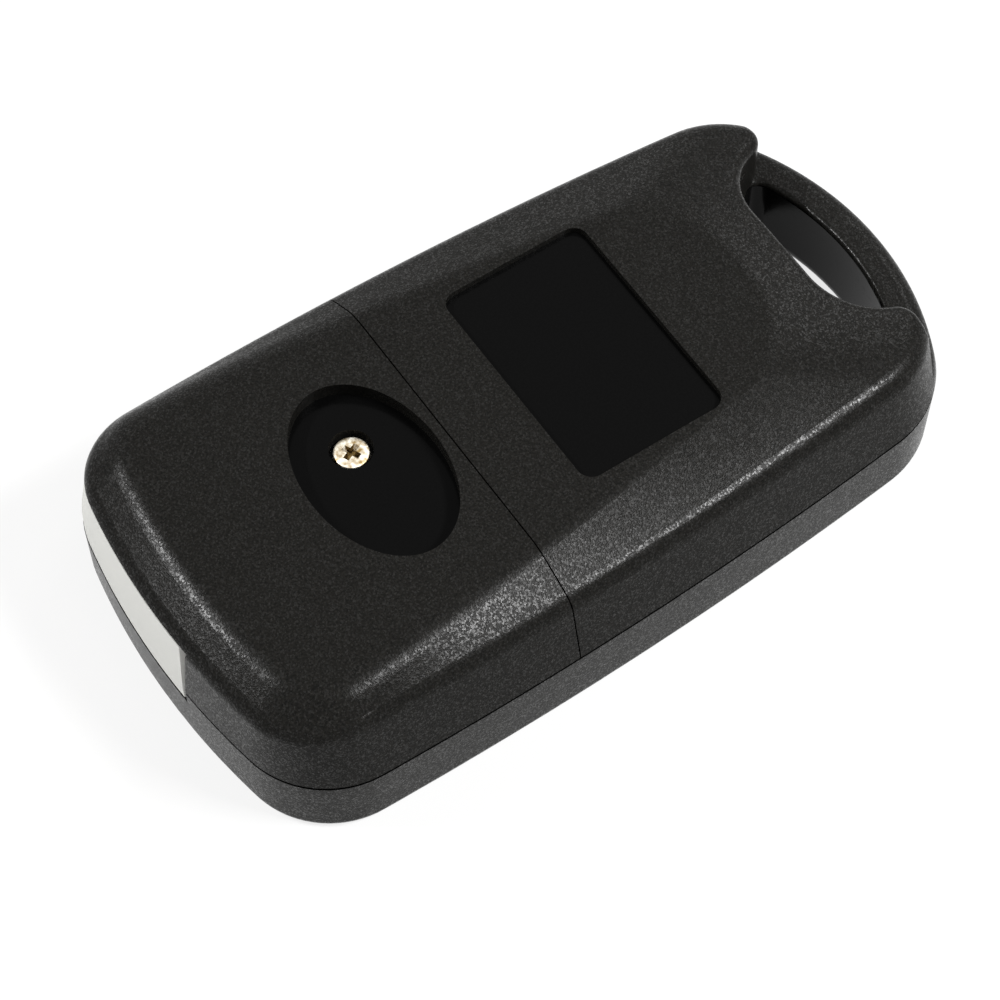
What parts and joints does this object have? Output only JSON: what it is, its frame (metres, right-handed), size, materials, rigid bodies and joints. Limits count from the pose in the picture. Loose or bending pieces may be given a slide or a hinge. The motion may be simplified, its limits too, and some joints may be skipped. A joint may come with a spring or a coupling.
{
  "type": "folding car key remote",
  "caption": "Folding key remote in a grained two-part shell: a blade flips out of its end, with push buttons on the front, a keyring slot and a screwed rear cover.",
  "frame": {"origin": "middle of the box's underside, in the plane that the button face rests on", "axes": "+X towards the keyring end, +Z out of the rear face, which lies up; the folded blade is on the +Y side"},
  "size_m": [0.0699, 0.038, 0.0154],
  "materials": {
    "grained_abs": "fine spark-eroded grain, near black",
    "nickel_screw": "nickel plate, worn",
    "pin_steel": "ground",
    "spring_steel": "drawn wire",
    "board_laminate": "solder mask",
    "switch_steel": "pressed sheet",
    "cell_steel": "satin can",
    "holder_plastic": "natural moulding",
    "contact_steel": "nickel-plated sheet",
    "chip_resin": "moulded resin",
    "crystal_can": "satin can",
    "ferrite": "wound ferrite bar",
    "transponder_resin": "moulded resin",
    "painted_zinc": "flat pale grey paint",
    "blade_steel": "satin nickel plate",
    "button_plastic": "fine texture"
  },
  "bodies": {
    "housing": {"front_shell": "grained_abs", "pivot_cover": "grained_abs", "battery_cover": "grained_abs", "cover_screw": "nickel_screw", "pivot_pin": "pin_steel", "flip_spring": "spring_steel", "circuit_board": "board_laminate", "lock_switch": "switch_steel", "unlock_switch": "switch_steel", "trunk_switch": "switch_steel", "coin_cell": "cell_steel", "battery_holder": "holder_plastic", "positive_clip": "contact_steel", "negative_contact": "contact_steel", "control_chip": "chip_resin", "radio_chip": "chip_resin", "crystal": "crystal_can", "antenna_coil": "ferrite", "transponder_chip": "transponder_resin"},
    "blade": {"blade_head": "painted_zinc", "key_blade": "blade_steel", "blade_roll_pin": "pin_steel"},
    "release": {"release_button": "button_plastic"},
    "lock": {"lock_button": "button_plastic"},
    "unlock": {"unlock_button": "button_plastic"},
    "trunk": {"trunk_button": "button_plastic"}
  },
  "joints": [
    {"name": "blade_flip", "type": "hinge", "parent": "housing", "child": "blade", "pos_m": [-0.029, 0.00685, 0.009], "axis": [0, 0, 1], "range_deg": [0, 180]},
    {"name": "release_press", "type": "slide", "parent": "housing", "child": "release", "axis": [0, 0, 1], "range_m": [0, 0.0016], "stiffness_N_per_m": 600, "springref_m": -0.002, "deforming": ["flip_spring"]},
    {"name": "lock_press", "type": "slide", "parent": "housing", "child": "lock", "axis": [0, 0, 1], "range_m": [0, 0.0005], "stiffness_N_per_m": 4000, "springref_m": -0.0001},
    {"name": "unlock_press", "type": "slide", "parent": "housing", "child": "unlock", "axis": [0, 0, 1], "range_m": [0, 0.0005], "stiffness_N_per_m": 4000, "springref_m": -0.0001},
    {"name": "trunk_press", "type": "slide", "parent": "housing", "child": "trunk", "axis": [0, 0, 1], "range_m": [0, 0.0005], "stiffness_N_per_m": 4000, "springref_m": -0.0001}
  ]
}
